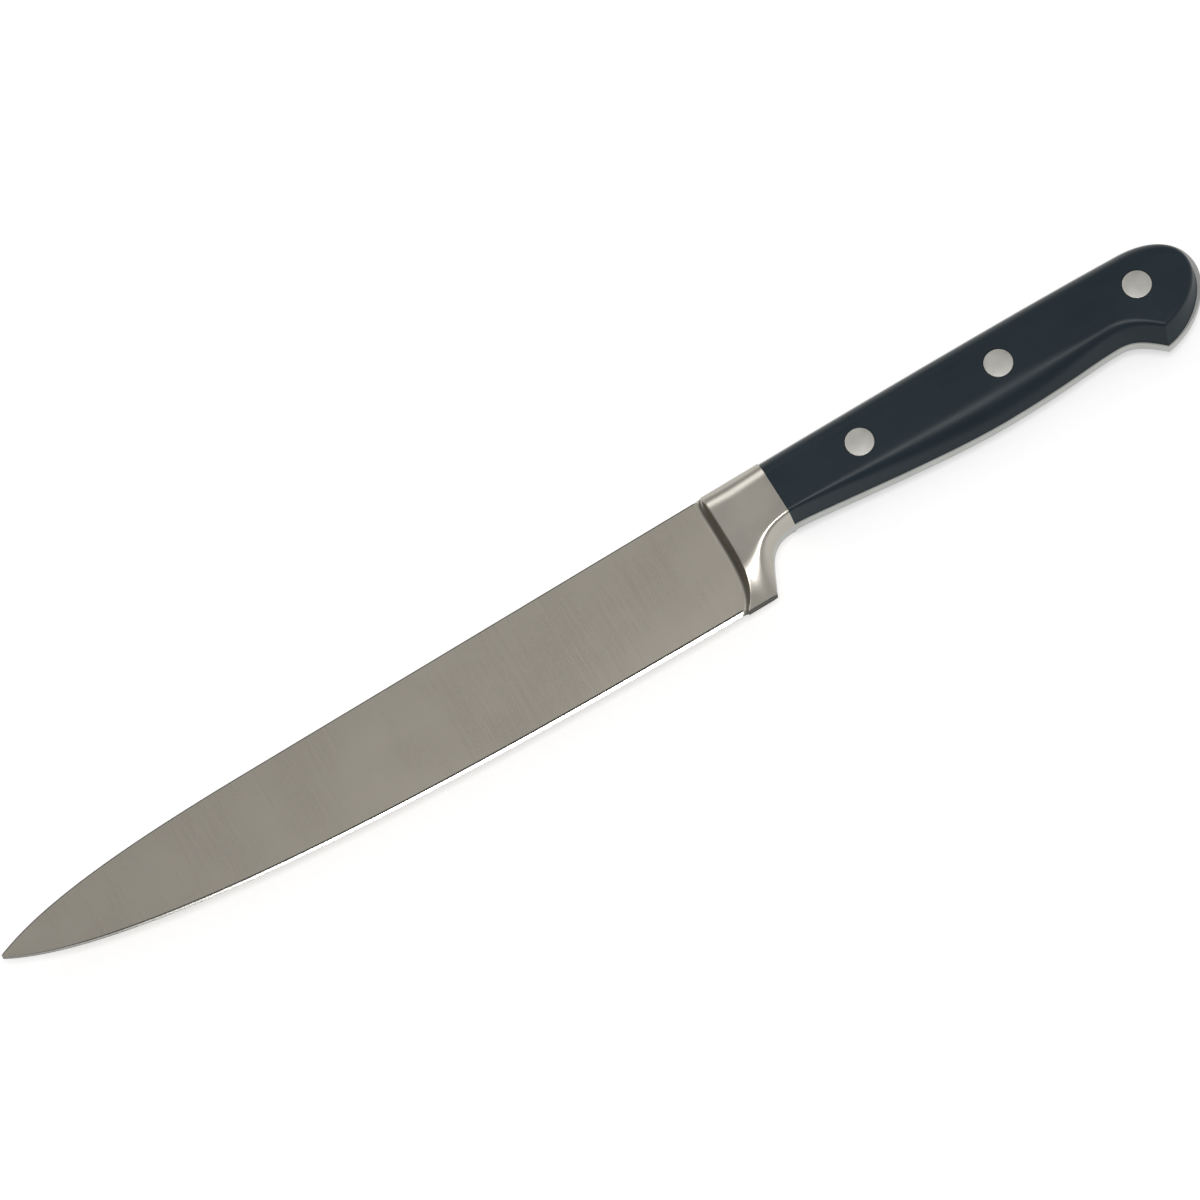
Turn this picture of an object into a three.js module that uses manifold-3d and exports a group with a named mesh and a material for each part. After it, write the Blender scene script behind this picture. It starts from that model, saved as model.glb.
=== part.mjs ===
// Forged kitchen meat knife: one steel forging that is blade, bolster and full tang, two moulded handle
// scales, and three compression rivets, each a sleeve and a pin. Sizes are in millimetres.
// Drawing frame: x = 0 at the front of the scales with +x to the butt, y = 0 on the line of the spine
// with +y away from the cutting edge, z = 0 on the middle plane with +z out of the left side.
// The finished knife is moved so that it lies on its right scale at z = 0, centred on the origin.
import * as THREE from "three";
import { mergeVertices } from "three/addons/utils/BufferGeometryUtils.js";
import Module from "manifold-3d";

// Blade
const bladeLength = 199.2; // foot of the bolster fillet to the point
const bladeDepth = 30.9; // spine to cutting edge at the heel
const spineThickness = 2.8; // at the bolster
const pointThickness = 0.6; // of the spine, at the point
const bevelWidth = 0.9; // at the heel
const pointBevelWidth = 0.5;
const bevelAngle = 14; // degrees from the middle plane
const edgeLand = 0.1; // flat left on the cutting edge
const spineChamfer = 0.35;
const pointDrop = 7.9; // spine line down to the point
const pointHeight = 1.1; // blunt end of the point
const pointRun = 72; // length of the spine's curve down to the point
const spinePull = 34; // how far that curve keeps to the spine line
const pointSpinePull = new THREE.Vector2(14, 6); // from the point back and up along the spine
const pointEdgePull = new THREE.Vector2(28, 16); // from the point back and down along the edge
const heelEdgePull = new THREE.Vector2(92, 0.6); // from the heel forward and up along the edge

// Bolster
const bolsterLength = 15.9; // front of the scales to the top of the fillet
const bolsterFrontThickness = 10;
const bolsterTop = 0.05; // above the line of the spine
const bolsterEdgeThickness = 4; // at its outline, where the sides start
const filletRun = 2.1; // hollow between the blade and the bolster
const filletSink = 0.2; // how deep the fillet's foot starts inside the blade
const heelBack = 12.6; // front of the scales to the rear corner of the heel
const heelDrop = 0.05; // foot of the heel below the cutting edge
const heelThickness = 3.2; // at the foot of the heel
const heelFacetAngle = 28; // degrees that the heel's thinned sides lean from the middle plane
const heelSweep = 4.8; // how far the fillet runs forward at the foot of the heel
const heelRidgeRound = 2; // softening of the ridge above the thinned heel
const heelDraft = 5; // lean of the side under the bolster's front, as an inset at the face
const heelRound = 3; // reach of the rounding between that side and the face
const fingerPull = 8; // how far the finger curve keeps level under the bolster
const heelPull = new THREE.Vector2(4, 8.7); // from the heel's rear corner back and up along the finger curve

// Handle outline, which is the outline of the tang
const handleLength = 116.2; // front of the scales to the end of the butt
const handleFrontDepth = 18.4;
const tangThickness = 3.4;
const tenonLength = 3; // of the tang inside the bolster
const tenonInset = 0.5; // of its outline inside the bolster
const bellyAt = 57; // from the front of the scales
const bellyDepth = 23.7;
const bellyFrontPull = 6;
const bellyPull = 18;
const notchFromButt = 27.7; // start of the notch ahead of the hook
const notchDepth = 22.5;
const notchPull = new THREE.Vector2(4, 8.5); // level part of the notch, ahead of it and behind its start
const hookFromButt = 16.9;
const hookDepth = 28.4;
const hookNotchPull = 4.5; // along the notch and up from the hook
const hookButtPull = new THREE.Vector2(7.9, 1); // from the hook along the butt
const buttDepth = 12.9; // of the endmost point of the butt
const lowerButtPull = 8; // below that point
const upperButtPull = 6.9; // above it
const backDrop = 1.4; // of the handle's back, where the butt begins
const buttRun = 16.2; // length of the curve from the back to the end of the butt
const buttBackPull = 10;
const backPull = new THREE.Vector2(20, 0.8); // from the butt forward and up along the back
const backFrontDrop = 0.15; // of the handle's back, at the bolster
const backFrontPull = 50; // how far the back keeps level behind the bolster

// Scales
const handleThickness = 15;
const tangProud = 0.3; // of the tang beyond the edge of the scales
const buttProud = 1.2; // the same at the end of the butt
const topDraft = 2; // lean of the side, as an inset at the outer face
const topRound = 4; // reach of the rounding on to the face and down the side
const frontDraft = 1.7;
const frontRound = 0.8;
const bellyDraft = 2.9;
const bellyRound = 4.6;
const notchRound = 2;
const hookRound = 0.8;
const buttDraft = 0.8;
const buttRound = 1.5;

// Rivets
const rivetNames = ["front", "middle", "rear"];
const rivetFirst = 23.4; // front of the scales to the first rivet
const rivetPitch = 38.5;
const rivetFrontDepth = 10.55; // of the first rivet below the line of the spine
const rivetRearDepth = 12.4; // of the last one
const headDiameter = 7.3;
const headHeight = 2.4;
const headChamfer = 0.2;
const sleeveDiameter = 5;
const pinDiameter = 3;
const sleeveTipGap = 0.4; // between the end of the sleeve and the pin's head
const boreWeb = 0.6; // solid metal between the bore and the sleeve's head
const pinTipGap = 0.4; // between the end of the pin and the end of the bore
const rivetClearance = 0.1; // round the heads and sleeves, in the scales and the tang
const pinClearance = 0.05; // round the pin, in the sleeve

// Fineness of the curved faces
const bladeSteps = 26;
const curveSteps = 12; // along each curve of the handle
const roundSteps = 4; // round each softened edge of the scales
const filletSteps = 5;
const bolsterSteps = 10; // from the fillet to the rear of the bolster
const bolsterRows = 13; // from the back of the bolster down to the tang's lower edge
const fingerRows = 12; // down the finger curve
const rivetSides = 32;
const mergeDistance = 1e-4;
const halvings = 40; // in the search for a point of a curve
const pointCrowding = 1.5; // how far the blade's steps draw together at the point
const roundLimit = 0.9; // largest share of a side that its rounding takes up
const bevelLimit = 1 / 3; // largest share of the blade's depth that a bevel takes up
const heelSideEase = 3; // how late the bolster's lower side takes on the lean of the heel
const heelSweepEase = 7; // how late the fillet runs forward

// Worked out from the sizes above
const tangHalf = tangThickness / 2;
const handleHalf = handleThickness / 2;
const scaleHeight = handleHalf - tangHalf;
const heelFoot = bladeDepth + heelDrop;
const filletFoot = -(bolsterLength + filletRun);
const point = filletFoot - bladeLength;
const hookAt = handleLength - hookFromButt;
const notchAt = handleLength - notchFromButt;
const backEnd = handleLength - buttRun;

const steel = new THREE.MeshStandardMaterial({ color: "#938e83", roughness: 0.35, metalness: 1 });
const blackPlastic = new THREE.MeshStandardMaterial({ color: "#22282b", roughness: 0.35, metalness: 0 });
const rivetSteel = new THREE.MeshStandardMaterial({ color: "#b3b2ab", roughness: 0.4, metalness: 1 });

const wasm = await Module();
wasm.setup();

/** A closed geometry as a solid that can be joined and cut. */
function solidOf(geometry) {
  geometry.deleteAttribute("normal");
  geometry.deleteAttribute("uv");
  const merged = mergeVertices(geometry, mergeDistance);
  const vertProperties = merged.attributes.position.array;
  const triVerts = new Uint32Array(merged.index.array);
  return new wasm.Manifold(new wasm.Mesh({ numProp: 3, vertProperties, triVerts }));
}

/** A solid as a geometry that a mesh can show. */
function geometryOf(solid) {
  const mesh = solid.getMesh();
  const geometry = new THREE.BufferGeometry();
  geometry.setAttribute("position", new THREE.BufferAttribute(mesh.vertProperties, 3));
  geometry.setIndex(new THREE.BufferAttribute(mesh.triVerts, 1));
  geometry.computeVertexNormals();
  return geometry;
}

/** A cubic curve through two points, each given with its pull. */
function curveOf(x0, y0, x1, y1, x2, y2, x3, y3) {
  return new THREE.CubicBezierCurve(
    new THREE.Vector2(x0, y0),
    new THREE.Vector2(x1, y1),
    new THREE.Vector2(x2, y2),
    new THREE.Vector2(x3, y3),
  );
}

/** The height of a curve at x, where the curve's x rises from end to end. */
function heightAt(curve, x) {
  let low = 0;
  let high = 1;
  for (let halving = 0; halving < halvings; halving++) {
    const middle = (low + high) / 2;
    if (curve.getPoint(middle).x < x) low = middle;
    else high = middle;
  }
  return curve.getPoint(low).y;
}

/** The rounding between a leaning side and a flat face, in section: inset across, height up. */
function edgeBend(draft, round, height) {
  const side = Math.hypot(draft, height);
  const reach = Math.min(round, roundLimit * side);
  const corner = new THREE.Vector2(draft, height);
  const start = corner.clone().multiplyScalar(1 - reach / side);
  const end = new THREE.Vector2(draft + reach, height);
  return new THREE.QuadraticBezierCurve(start, corner, end);
}

/** The height of a leaning side and the face that it is rounded into, at an inset from its outline. */
function sideHeight(inset, draft, round, height) {
  const bend = edgeBend(draft, round, height);
  if (inset >= bend.v2.x) return height;
  if (inset <= bend.v0.x) return (bend.v0.y * inset) / bend.v0.x;
  return heightAt(bend, inset);
}

/** The lesser of two heights, with the corner between them softened. */
function softMin(a, b, softness) {
  const share = Math.max(softness - Math.abs(a - b), 0) / softness;
  return Math.min(a, b) - (share * share * softness) / 4;
}

/** A closed solid with mirror-image faces. Rows run to +y and their points [x, y, half] to +x. */
function twoSided(rows) {
  const width = rows[0].length;
  const last = rows.length - 1;
  const end = width - 1;
  const positions = [1, -1].flatMap((side) => rows.flat().flatMap(([x, y, half]) => [x, y, side * half]));
  const indices = [];
  const left = (row, column) => row * width + column;
  const right = (row, column) => rows.length * width + left(row, column);
  const quad = (a, b, c, d) => indices.push(a, b, c, a, c, d);
  for (let row = 0; row < last; row++) {
    for (let column = 0; column < end; column++) {
      const [r, c] = [row + 1, column + 1];
      quad(left(row, column), left(row, c), left(r, c), left(r, column));
      quad(right(row, column), right(r, column), right(r, c), right(row, c));
    }
    quad(left(row + 1, 0), right(row + 1, 0), right(row, 0), left(row, 0));
    quad(left(row, end), right(row, end), right(row + 1, end), left(row + 1, end));
  }
  for (let column = 0; column < end; column++) {
    quad(left(0, column), right(0, column), right(0, column + 1), left(0, column + 1));
    quad(left(last, column + 1), right(last, column + 1), right(last, column), left(last, column));
  }
  const geometry = new THREE.BufferGeometry();
  geometry.setAttribute("position", new THREE.Float32BufferAttribute(positions, 3));
  geometry.setIndex(indices);
  return geometry;
}

// Blade
const spineCurve = curveOf(
  point, -pointDrop,
  point + pointSpinePull.x, -pointDrop + pointSpinePull.y,
  point + pointRun - spinePull, 0,
  point + pointRun, 0,
);
const edgeCurve = curveOf(
  point, -(pointDrop + pointHeight),
  point + pointEdgePull.x, -(pointDrop + pointHeight + pointEdgePull.y),
  filletFoot - heelEdgePull.x, -bladeDepth + heelEdgePull.y,
  filletFoot, -bladeDepth,
);

/** The blade's section at x: heights of its edge, shoulder and spine, and the last two's half thickness. */
function bladeSection(x) {
  const along = THREE.MathUtils.clamp((x - point) / bladeLength, 0, 1);
  const spine = x < point + pointRun ? heightAt(spineCurve, x) : 0;
  const edge = x < filletFoot ? heightAt(edgeCurve, x) : -bladeDepth;
  const fullBevel = THREE.MathUtils.lerp(pointBevelWidth, bevelWidth, along);
  const bevel = Math.min(fullBevel, (spine - edge) * bevelLimit);
  const shoulderHalf = edgeLand / 2 + Math.tan(THREE.MathUtils.degToRad(bevelAngle)) * bevel;
  const spineHalf = THREE.MathUtils.lerp(pointThickness, spineThickness, along) / 2;
  return { edge, shoulder: edge + bevel, spine, shoulderHalf, spineHalf };
}

/** Half the blade's thickness at a point of its flat grind. */
function bladeHalf(x, y) {
  const { shoulder, spine, shoulderHalf, spineHalf } = bladeSection(x);
  const share = THREE.MathUtils.clamp((y - shoulder) / (spine - shoulder), 0, 1);
  return THREE.MathUtils.lerp(shoulderHalf, spineHalf, share);
}

function bladeSolid() {
  const reach = bladeLength + filletRun + tenonLength;
  const rows = [[], [], [], []];
  for (let step = 0; step <= bladeSteps; step++) {
    const x = point + reach * (step / bladeSteps) ** pointCrowding;
    const { edge, shoulder, spine, shoulderHalf, spineHalf } = bladeSection(x);
    const chamfer = Math.min(spineChamfer, (spine - shoulder) * bevelLimit);
    rows[0].push([x, edge, edgeLand / 2]);
    rows[1].push([x, shoulder, shoulderHalf]);
    rows[2].push([x, spine - chamfer, spineHalf]);
    rows[3].push([x, spine, spineHalf - chamfer]);
  }
  return solidOf(twoSided(rows));
}

// Bolster
const fingerCurve = curveOf(
  0, -handleFrontDepth,
  -fingerPull, -handleFrontDepth,
  -heelBack + heelPull.x, -heelFoot + heelPull.y,
  -heelBack, -heelFoot,
);
const fingerPoints = fingerCurve.getPoints(2 * fingerRows);

/** How far a point lies from the finger curve. */
function fromFingerCurve(x, y) {
  const from = new THREE.Vector3(x, y, 0);
  const nearest = new THREE.Vector3();
  const segment = new THREE.Line3();
  let least = Infinity;
  for (let index = 1; index < fingerPoints.length; index++) {
    segment.start.set(fingerPoints[index - 1].x, fingerPoints[index - 1].y, 0);
    segment.end.set(fingerPoints[index].x, fingerPoints[index].y, 0);
    segment.closestPointToPoint(from, true, nearest);
    least = Math.min(least, from.distanceTo(nearest));
  }
  return least;
}

/** Half the bolster's thickness behind its fillet. */
function bolsterHalf(x, y) {
  const along = THREE.MathUtils.clamp(1 + x / bolsterLength, 0, 1);
  const edgeHalf = bolsterEdgeThickness / 2;
  const height = THREE.MathUtils.lerp(bolsterFrontThickness / 2, handleHalf, along) - edgeHalf;
  const upper = sideHeight(bolsterTop - y, topDraft, topRound, height);
  const towardsHeel = (1 - along) ** heelSideEase;
  const lowerDraft = THREE.MathUtils.lerp(frontDraft, heelDraft, towardsHeel);
  const lowerRound = THREE.MathUtils.lerp(frontRound, heelRound, towardsHeel);
  const lower = sideHeight(fromFingerCurve(x, y), lowerDraft, lowerRound, height);
  const rise = Math.tan(THREE.MathUtils.degToRad(heelFacetAngle)) * (y + heelFoot);
  const heel = heelThickness / 2 + rise;
  return softMin(edgeHalf + Math.min(upper, lower), heel, heelRidgeRound);
}

/** Where the fillet meets the blade at height y. It runs forward towards the foot of the heel. */
function filletFootAt(y) {
  const share = Math.max(-y, 0) / heelFoot;
  return filletFoot - heelSweep * share ** heelSweepEase;
}

/** One row of the bolster at height y, from inside the blade to the rear end of the row. */
function bolsterRow(y, rear) {
  const foot = filletFootAt(y);
  const ridge = foot + filletRun;
  const ridgeHalf = bolsterHalf(ridge, y);
  const row = [[foot - 2 * filletSink, y, bladeHalf(foot, y) - filletSink]];
  for (let step = 0; step <= filletSteps; step++) {
    const turn = (step / filletSteps) * (Math.PI / 2);
    const x = foot + filletRun * Math.sin(turn);
    row.push([x, y, THREE.MathUtils.lerp(ridgeHalf, bladeHalf(x, y), Math.cos(turn))]);
  }
  for (let step = 1; step <= bolsterSteps; step++) {
    const share = Math.sin(((step / bolsterSteps) * Math.PI) / 2);
    const x = THREE.MathUtils.lerp(ridge, rear, share);
    row.push([x, y, bolsterHalf(x, y)]);
  }
  return row;
}

function bolsterSolid() {
  const rows = [];
  for (let step = fingerRows; step > 0; step--) {
    const rear = fingerCurve.getPoint(step / fingerRows);
    rows.push(bolsterRow(rear.y, rear.x));
  }
  for (let step = 0; step <= bolsterRows; step++) {
    const share = (1 - Math.cos((step / bolsterRows) * Math.PI)) / 2;
    rows.push(bolsterRow(THREE.MathUtils.lerp(-handleFrontDepth, bolsterTop, share), 0));
  }
  return solidOf(twoSided(rows));
}

// Handle outline, from the hook round the butt, along the back, and along the belly to the hook again
const lowerButt = curveOf(
  hookAt, -hookDepth,
  hookAt + hookButtPull.x, -hookDepth + hookButtPull.y,
  handleLength, -(buttDepth + lowerButtPull),
  handleLength, -buttDepth,
);
const upperButt = curveOf(
  handleLength, -buttDepth,
  handleLength, -buttDepth + upperButtPull,
  backEnd + buttBackPull, -backDrop,
  backEnd, -backDrop,
);
const back = curveOf(
  backEnd, -backDrop,
  backEnd - backPull.x, -backDrop + backPull.y,
  backFrontPull, -backFrontDrop,
  0, -backFrontDrop,
);
const belly = curveOf(
  0, -handleFrontDepth,
  bellyFrontPull, -handleFrontDepth,
  bellyAt - bellyPull, -bellyDepth,
  bellyAt, -bellyDepth,
);
const rise = curveOf(
  bellyAt, -bellyDepth,
  bellyAt + bellyPull, -bellyDepth,
  notchAt - notchPull.y, -notchDepth,
  notchAt, -notchDepth,
);
const notch = curveOf(
  notchAt, -notchDepth,
  notchAt + notchPull.x, -notchDepth,
  hookAt - hookNotchPull, -hookDepth + hookNotchPull,
  hookAt, -hookDepth,
);

function tangSolid() {
  const shape = new THREE.Shape();
  const tenonHigh = -backFrontDrop - tenonInset;
  const tenonLow = -handleFrontDepth + tenonInset;
  const corners = [
    new THREE.Vector2(0, -backFrontDrop),
    new THREE.Vector2(0, tenonHigh),
    new THREE.Vector2(-tenonLength, tenonHigh),
    new THREE.Vector2(-tenonLength, tenonLow),
    new THREE.Vector2(0, tenonLow),
    new THREE.Vector2(0, -handleFrontDepth),
  ];
  shape.curves.push(lowerButt, upperButt, back);
  for (let index = 1; index < corners.length; index++) {
    shape.curves.push(new THREE.LineCurve(corners[index - 1], corners[index]));
  }
  shape.curves.push(belly, rise, notch);
  const options = { depth: tangThickness, bevelEnabled: false, curveSegments: curveSteps };
  return solidOf(new THREE.ExtrudeGeometry(shape, options).translate(0, 0, -tangHalf));
}

/** Stations along a curve of the scale's outline, whose side changes from one shape to the next. */
function stationsAlong(curve, from, to, hookSide = 0) {
  const stations = [];
  for (let step = 0; step <= curveSteps; step++) {
    const share = step / curveSteps;
    const eased = THREE.MathUtils.smoothstep(share, 0, 1);
    const tangent = curve.getTangent(share);
    stations.push({
      at: curve.getPoint(share),
      inward: new THREE.Vector2(-tangent.y, tangent.x),
      draft: THREE.MathUtils.lerp(from.draft, to.draft, eased),
      round: THREE.MathUtils.lerp(from.round, to.round, eased),
      proud: THREE.MathUtils.lerp(from.proud, to.proud, eased),
      hookSide,
    });
  }
  return stations;
}

/** A scale without its rivet holes: rings that follow the outline and step in up the leaning side. */
function scaleBlank() {
  const top = { draft: topDraft, round: topRound, proud: tangProud };
  const front = { draft: frontDraft, round: frontRound, proud: tangProud };
  const middle = { draft: bellyDraft, round: bellyRound, proud: tangProud };
  const hollow = { draft: bellyDraft, round: notchRound, proud: tangProud };
  const hook = { draft: bellyDraft, round: hookRound, proud: tangProud };
  const butt = { draft: buttDraft, round: buttRound, proud: buttProud };
  const stations = [
    ...stationsAlong(lowerButt, hook, butt, 1),
    ...stationsAlong(upperButt, butt, top).slice(1),
    ...stationsAlong(back, top, top).slice(1),
    ...stationsAlong(belly, front, middle),
    ...stationsAlong(rise, middle, hollow).slice(1),
    ...stationsAlong(notch, hollow, hook, -1).slice(1),
  ];
  const hookPoint = lowerButt.v0;
  const hookInward = stations[0].inward.clone().add(stations.at(-1).inward).normalize();
  const mitre = 1 / hookInward.dot(stations[0].inward);
  const sections = stations.map(({ draft, round, proud }) => {
    const bend = edgeBend(draft, round, scaleHeight).getPoints(roundSteps);
    return [new THREE.Vector2(0, 0), ...bend].map(({ x, y }) => ({ inset: proud + x, z: tangHalf + y }));
  });
  const rings = sections[0].map((hookEdge, ring) => {
    const corner = hookPoint.clone().addScaledVector(hookInward, hookEdge.inset * mitre);
    return stations.map(({ at, inward, hookSide }, index) => {
      const { inset, z } = sections[index][ring];
      const moved = at.clone().addScaledVector(inward, inset);
      const past = hookSide * hookInward.cross(moved.clone().sub(hookPoint));
      if (past > 0) return new THREE.Vector3(corner.x, corner.y, hookEdge.z);
      return new THREE.Vector3(moved.x, moved.y, z);
    });
  });
  return solidOf(closedRings(rings));
}

/** A closed geometry from rings of points that run anticlockwise, the lowest ring first. */
function closedRings(rings) {
  const positions = [];
  const triangle = (a, b, c) => {
    const corners = [a, b, c];
    const sides = [a.distanceTo(b), b.distanceTo(c), c.distanceTo(a)];
    if (Math.min(...sides) > mergeDistance) corners.forEach(({ x, y, z }) => positions.push(x, y, z));
  };
  for (let ring = 1; ring < rings.length; ring++) {
    const [lower, upper] = [rings[ring - 1], rings[ring]];
    lower.forEach((point, index) => {
      const next = (index + 1) % lower.length;
      triangle(point, lower[next], upper[next]);
      triangle(point, upper[next], upper[index]);
    });
  }
  const cap = (ring) => {
    const points = ring.filter((p, index) => p.distanceTo(ring.at(index - 1)) > mergeDistance);
    const faces = THREE.ShapeUtils.triangulateShape(points, []);
    return faces.map((face) => face.map((index) => points[index]));
  };
  cap(rings[0]).forEach(([a, b, c]) => triangle(c, b, a));
  cap(rings.at(-1)).forEach(([a, b, c]) => triangle(a, b, c));
  const geometry = new THREE.BufferGeometry();
  geometry.setAttribute("position", new THREE.Float32BufferAttribute(positions, 3));
  return geometry;
}

/** A turned piece from [radius, height] points that start and end on its axis, at a rivet's place. */
function turned(points, at) {
  const profile = points.map(([radius, height]) => new THREE.Vector2(radius, height));
  const geometry = new THREE.LatheGeometry(profile, rivetSides);
  return geometry.rotateX(Math.PI / 2).translate(at.x, at.y, 0);
}

// Rivets
const headRadius = headDiameter / 2;
const sleeveRadius = sleeveDiameter / 2;
const pinRadius = pinDiameter / 2;
const headSeat = handleHalf - headHeight;
const sleeveTip = -(headSeat - sleeveTipGap);
const boreEnd = headSeat - boreWeb;
const rivetPlaces = rivetNames.map((unused, index) => {
  const share = index / (rivetNames.length - 1);
  const depth = THREE.MathUtils.lerp(rivetFrontDepth, rivetRearDepth, share);
  return new THREE.Vector2(rivetFirst + index * rivetPitch, -depth);
});

function sleeveAt(place) {
  const boreRadius = pinRadius + pinClearance;
  const profile = [
    [0, boreEnd],
    [boreRadius, boreEnd],
    [boreRadius, sleeveTip],
    [sleeveRadius, sleeveTip],
    [sleeveRadius, headSeat],
    [headRadius, headSeat],
    [headRadius, handleHalf - headChamfer],
    [headRadius - headChamfer, handleHalf],
    [0, handleHalf],
  ];
  return turned(profile, place);
}

function pinAt(place) {
  const profile = [
    [0, -handleHalf],
    [headRadius - headChamfer, -handleHalf],
    [headRadius, -handleHalf + headChamfer],
    [headRadius, -headSeat],
    [pinRadius, -headSeat],
    [pinRadius, boreEnd - pinTipGap],
    [0, boreEnd - pinTipGap],
  ];
  return turned(profile, place);
}

/** What is cut from a left scale, and from the tang, for a rivet: seat for the head, hole for the sleeve. */
function rivetHole(place) {
  const holeRadius = sleeveRadius + rivetClearance;
  const seatRadius = headRadius + rivetClearance;
  const profile = [
    [0, -handleHalf],
    [holeRadius, -handleHalf],
    [holeRadius, headSeat],
    [seatRadius, headSeat],
    [seatRadius, handleThickness],
    [0, handleThickness],
  ];
  return solidOf(turned(profile, place));
}

const rivetHoles = rivetPlaces.map(rivetHole);
const forging = bladeSolid().add(bolsterSolid()).add(tangSolid());
const drilledForging = rivetHoles.reduce((solid, hole) => solid.subtract(hole), forging);
const drilledScale = rivetHoles.reduce((solid, hole) => solid.subtract(hole), scaleBlank());

const knife = new THREE.Group();

function addPiece(name, geometry, material) {
  const mesh = new THREE.Mesh(geometry, material);
  mesh.name = name;
  knife.add(mesh);
  return mesh;
}

addPiece("forged_blade", geometryOf(drilledForging), steel);
addPiece("left_scale", geometryOf(drilledScale), blackPlastic);
addPiece("right_scale", geometryOf(drilledScale), blackPlastic).scale.z = -1;
rivetNames.forEach((where, index) => {
  addPiece(`${where}_rivet_sleeve`, sleeveAt(rivetPlaces[index]), rivetSteel);
  addPiece(`${where}_rivet_pin`, pinAt(rivetPlaces[index]), rivetSteel);
});

knife.position.set(-(point + handleLength) / 2, (heelFoot - bolsterTop) / 2, handleHalf);

export default knife;
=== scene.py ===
"""Looks of a forged meat knife that lies on a pale studio floor.

Shapes are worked out in the knife's drawing frame, in millimetres: x = 0 at the front of the scales with
+x to the butt, y = 0 on the line of the spine with +y away from the cutting edge, and z = 0 on the middle
plane. The meshes stand in the part frame, in metres.
"""

import logging
import math
from dataclasses import dataclass
from enum import Enum

import bmesh
import bpy
import numpy as np
from mathutils import Matrix, Vector

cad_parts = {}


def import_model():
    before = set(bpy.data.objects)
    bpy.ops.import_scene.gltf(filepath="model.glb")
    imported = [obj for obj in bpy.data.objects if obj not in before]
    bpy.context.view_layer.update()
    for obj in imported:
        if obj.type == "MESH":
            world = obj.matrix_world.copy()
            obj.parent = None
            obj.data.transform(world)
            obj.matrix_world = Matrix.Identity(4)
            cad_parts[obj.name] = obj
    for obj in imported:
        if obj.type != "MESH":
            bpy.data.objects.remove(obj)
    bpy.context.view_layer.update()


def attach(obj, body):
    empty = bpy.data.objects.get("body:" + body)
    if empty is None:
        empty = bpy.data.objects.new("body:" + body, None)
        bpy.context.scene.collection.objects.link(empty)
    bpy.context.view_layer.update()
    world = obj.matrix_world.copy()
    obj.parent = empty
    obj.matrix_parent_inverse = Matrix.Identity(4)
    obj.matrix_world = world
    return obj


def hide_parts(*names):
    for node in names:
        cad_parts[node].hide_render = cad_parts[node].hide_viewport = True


Array = np.ndarray
Point = tuple[float, float]
Place = tuple[float, float, float]
Face = tuple[int, ...]
Grid = tuple[Array, Array, Array]  # places, heights and half thicknesses, a line of each per column
Colour = tuple[float, float, float, float]
Stop = tuple[float, str]
Tree = bpy.types.NodeTree
Node = bpy.types.Node
Socket = bpy.types.NodeSocket
Material = bpy.types.Material
Piece = bpy.types.Object

BODY = "root"
MILLIMETRE = 0.001
MERGE_DISTANCE = 1e-7
SHARP_ANGLE = math.radians(32)
TABLE_POINTS = 4001
PATTERN_SUMS = (0.7, 1.3)  # between which the sum of two noise patterns mostly lies
WHITE = (1.0, 1.0, 1.0, 1.0)

log = logging.getLogger("knife")


class Slot(Enum):
    """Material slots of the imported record."""

    STEEL = "forged_steel"
    PLASTIC = "handle_plastic"
    RIVET = "rivet_steel"


class Side(Enum):
    """The two sides of the knife: the left one faces up."""

    LEFT = 1
    RIGHT = -1


class Zone(Enum):
    """Zones of the forging that are finished on their own, as material indices."""

    FLANK = 0
    BEVEL = 1
    BOLSTER = 2
    # thin dark lines of painted shade and painted dark reflection on the steel
    LINE = 3
    TANG = 4


# Shape functions


@dataclass(frozen=True)
class Cubic:
    """A cubic curve in the drawing frame, by its ends and the steps that pull it from them."""

    start: Point
    start_pull: Point
    end_pull: Point
    end: Point

    @property
    def controls(self) -> Array:
        """Start, two pulled points and end, a row of x and y each."""
        pulled = np.add((self.start, self.end), (self.start_pull, self.end_pull))
        return np.array([self.start, *pulled, self.end])

    def points(self, shares: Array) -> Array:
        """Finds points of the curve.

        Args:
            shares: How far along the curve, from 0 to 1.

        Returns:
            One row of x and y per share.
        """
        start, leaving, arriving, end = self.controls
        t = np.asarray(shares, float)[:, None]
        s = 1 - t
        return s**3 * start + t**3 * end + 3 * s * t * (s * leaving + t * arriving)

    def inward(self, shares: Array) -> Array:
        """Finds the unit vectors to the left of the way along the curve.

        Args:
            shares: How far along the curve, from 0 to 1.

        Returns:
            One row of x and y per share.
        """
        first, second, third = np.diff(self.controls, axis=0)
        t = np.asarray(shares, float)[:, None]
        s = 1 - t
        along = s * s * first + 2 * s * t * second + t * t * third
        along = along / np.linalg.norm(along, axis=1, keepdims=True)
        return np.stack([-along[:, 1], along[:, 0]], axis=1)

    def height_at(self, x: Array) -> Array:
        """Finds the curve's heights at x, and past its ends the heights of these."""
        table = self.points(np.linspace(0, 1, TABLE_POINTS))
        return np.interp(x, *table[np.argsort(table[:, 0])].T)


def lerp(start: Array | float, end: Array | float, share: Array | float) -> Array | float:
    """Mixes two values by a share from 0 to 1."""
    return start + (end - start) * share


def smooth(share: Array | float) -> Array | float:
    """Eases a share in and out, after keeping it between 0 and 1."""
    kept = np.clip(share, 0, 1)
    return kept * kept * (3 - 2 * kept)


def soft_min(a: Array, b: Array, softness: float) -> Array:
    """Finds the lesser of two heights, with the corner between them softened."""
    share = np.maximum(softness - np.abs(a - b), 0) / softness
    return np.minimum(a, b) - share * share * softness / 4


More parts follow.
